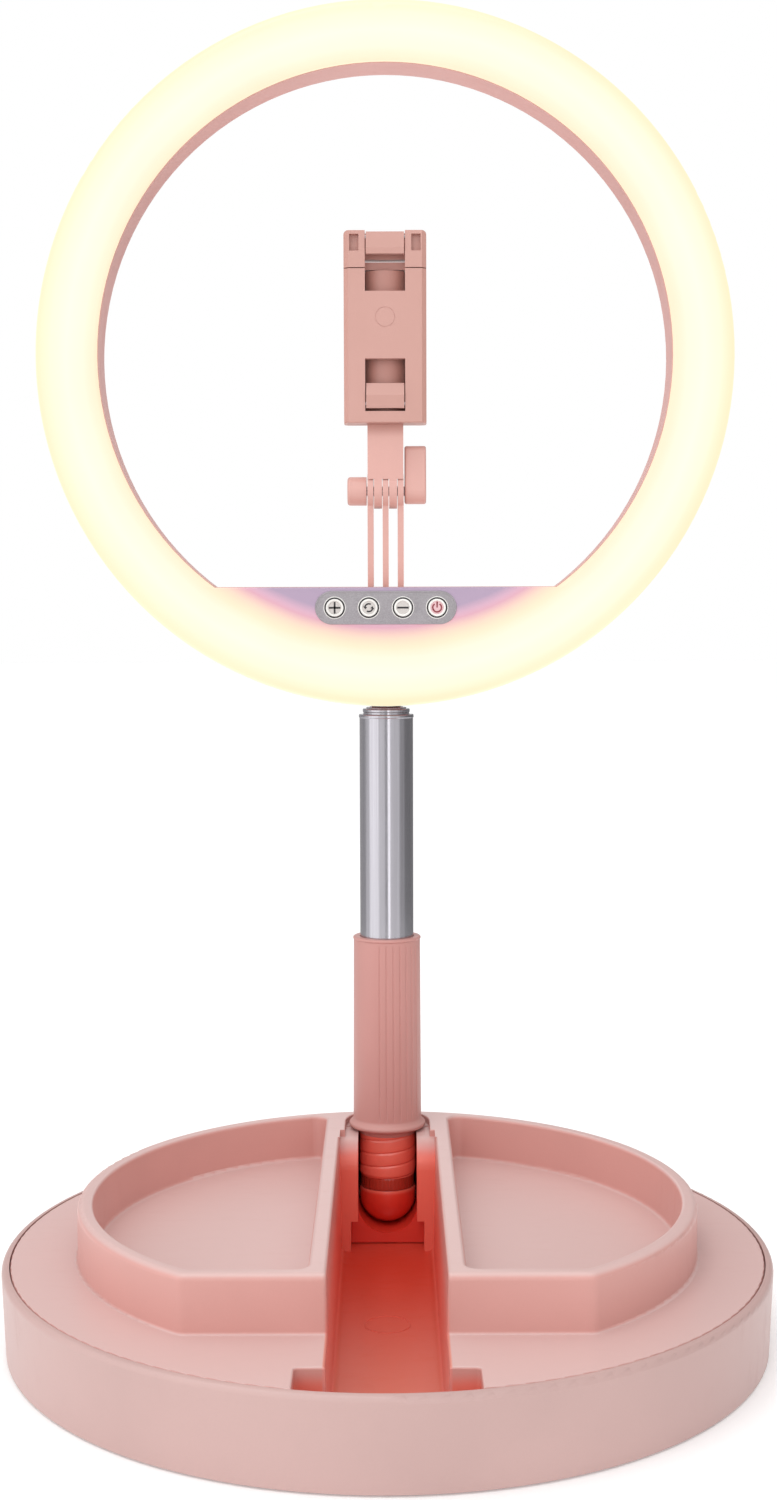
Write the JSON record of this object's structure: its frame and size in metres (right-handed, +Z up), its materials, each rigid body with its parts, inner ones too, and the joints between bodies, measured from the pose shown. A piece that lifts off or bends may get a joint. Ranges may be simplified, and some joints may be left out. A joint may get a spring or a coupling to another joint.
{
  "type": "ring light",
  "caption": "Folding ring light: round storage base, telescopic pole that folds into a channel, and a lit ring with a phone holder in its hole.",
  "frame": {"origin": "centre of the base at the level of its feet", "axes": "+Z up, the lit face of the ring looks towards -Y, +X to the right seen from the front"},
  "size_m": [0.28, 0.2798, 0.506],
  "materials": {
    "pink_base": "fine satin moulded plastic",
    "pink_lamp": "satin moulded plastic",
    "pink_grip": "fluted satin moulded plastic",
    "pink_thread": "satin moulded plastic in shade",
    "pink_holder": "satin moulded plastic",
    "opal": "opal diffusing plastic, lit from behind",
    "tube_metal": "satin bright-drawn steel tube",
    "pin_steel": "plain steel",
    "weight_steel": "dark plate steel",
    "nylon": "dark nylon",
    "foot_rubber": "matt rubber",
    "circuit": "white solder-masked board",
    "led": "yellow phosphor chip",
    "guide_sheet": "clear spreading sheet",
    "keypad": "brushed grey keypad",
    "button_white": null
  },
  "bodies": {
    "base": {"base_shell": "pink_base", "deck_tray": "pink_base", "bottom_cover": "pink_base", "cover_screws": "pin_steel", "counterweights": "weight_steel", "rubber_feet": "foot_rubber", "hinge_cradle": "pink_thread", "pole_pin": "pin_steel"},
    "pole": {"pole_foot": "pink_thread", "pole_tube_1": "tube_metal", "tube_collar_1": "nylon"},
    "sleeve": {"lock_sleeve": "pink_grip"},
    "section_2": {"pole_tube_2": "tube_metal", "slide_ring_2": "nylon", "tube_collar_2": "nylon"},
    "section_3": {"pole_tube_3": "tube_metal", "slide_ring_3": "nylon", "tube_collar_3": "nylon"},
    "section_4": {"pole_tube_4": "tube_metal", "slide_ring_4": "nylon", "tube_collar_4": "nylon"},
    "neck": {"pole_tube_5": "tube_metal", "slide_ring_5": "nylon", "neck_fitting": "nylon"},
    "ring_pin": {"ring_hinge_pin": "pin_steel"},
    "ring": {"front_diffuser": "opal", "ring_housing": "pink_lamp", "led_board": "circuit", "leds": "led", "light_guide": "guide_sheet", "control_plate": "keypad", "control_board": "circuit", "switches": "nylon", "usb_port": "pin_steel", "housing_screws": "pin_steel", "ear_screws": "pin_steel", "hinge_ears": "pink_lamp", "arm_bracket": "pink_lamp", "arm_pin": "pin_steel"},
    "brighter": {"brighter_button": "button_white"},
    "mode": {"mode_button": "button_white"},
    "dimmer": {"dimmer_button": "button_white"},
    "power": {"power_button": "button_white"},
    "arm": {"arm_fins": "pink_holder", "cap_nut": "pink_holder"},
    "lever": {"clamp_lever": "pink_holder", "clamp_bolt": "pin_steel"},
    "holder": {"holder_cover": "pink_holder", "holder_frame": "pink_holder", "clamp_springs": "pin_steel", "lower_lip_pin": "pin_steel"},
    "slider": {"slider_head": "pink_holder", "upper_lip_pin": "pin_steel"},
    "upper_rest": {"upper_lip": "pink_holder"},
    "lower_rest": {"lower_lip": "pink_holder"}
  },
  "joints": [
    {"name": "pole_fold", "type": "hinge", "parent": "base", "child": "pole", "pos_m": [0, 0.096, 0.02], "axis": [1, 0, 0], "range_deg": [0, 90]},
    {"name": "sleeve_lift", "type": "slide", "parent": "pole", "child": "sleeve", "axis": [0, 0, 1], "range_m": [0, 0.01886]},
    {"name": "section_2_slide", "type": "slide", "parent": "pole", "child": "section_2", "axis": [0, 0, -1], "range_m": [-0.11, 0]},
    {"name": "section_3_slide", "type": "slide", "parent": "section_2", "child": "section_3", "axis": [0, 0, -1], "range_m": [-0.11, 0]},
    {"name": "section_4_slide", "type": "slide", "parent": "section_3", "child": "section_4", "axis": [0, 0, -1], "range_m": [-0.11, 0]},
    {"name": "section_5_slide", "type": "slide", "parent": "section_4", "child": "neck", "axis": [0, 0, -1], "range_m": [-0.11, 0]},
    {"name": "ring_fold", "type": "hinge", "parent": "neck", "child": "ring_pin", "pos_m": [0, 0.1, 0.241], "axis": [-1, 0, 0], "range_deg": [0, 180.01]},
    {"name": "ring_tilt", "type": "hinge", "parent": "ring_pin", "child": "ring", "pos_m": [0, 0.1, 0.241], "axis": [1, 0, 0], "range_deg": [-35, 0]},
    {"name": "brighter_press", "type": "slide", "parent": "ring", "child": "brighter", "axis": [0, 1, 0], "range_m": [0, 0.0006], "stiffness_N_per_m": 900, "springref_m": -0.0004},
    {"name": "mode_press", "type": "slide", "parent": "ring", "child": "mode", "axis": [0, 1, 0], "range_m": [0, 0.0006], "stiffness_N_per_m": 900, "springref_m": -0.0004},
    {"name": "dimmer_press", "type": "slide", "parent": "ring", "child": "dimmer", "axis": [0, 1, 0], "range_m": [0, 0.0006], "stiffness_N_per_m": 900, "springref_m": -0.0004},
    {"name": "power_press", "type": "slide", "parent": "ring", "child": "power", "axis": [0, 1, 0], "range_m": [0, 0.0006], "stiffness_N_per_m": 900, "springref_m": -0.0004},
    {"name": "arm_swing", "type": "hinge", "parent": "ring", "child": "arm", "pos_m": [0, 0.087, 0.263], "axis": [1, 0, 0], "range_deg": [-60, 0]},
    {"name": "lever_turn", "type": "hinge", "parent": "arm", "child": "lever", "pos_m": [0, 0.085, 0.313], "axis": [1, 0, 0], "range_deg": [0, 90]},
    {"name": "holder_tilt", "type": "hinge", "parent": "arm", "child": "holder", "pos_m": [0, 0.085, 0.313], "axis": [-1, 0, 0], "range_deg": [-75, 0]},
    {"name": "jaw_slide", "type": "slide", "parent": "holder", "child": "slider", "axis": [0, 0, -1], "range_m": [-0.028, 0], "stiffness_N_per_m": 120, "springref_m": 0.015, "deforming": ["clamp_springs"]},
    {"name": "upper_rest_flip", "type": "hinge", "parent": "slider", "child": "upper_rest", "pos_m": [0, 0.0772, 0.413], "axis": [-1, 0, 0], "range_deg": [0, 90]},
    {"name": "lower_rest_flip", "type": "hinge", "parent": "holder", "child": "lower_rest", "pos_m": [0, 0.0772, 0.3472], "axis": [1, 0, 0], "range_deg": [0, 90]}
  ],
  "couplings": [
    {"joint": "sleeve_lift", "follows": "pole_fold", "m_per_rad": 0.012},
    {"joint": "ring_fold", "follows": "pole_fold", "ratio": 2}
  ]
}
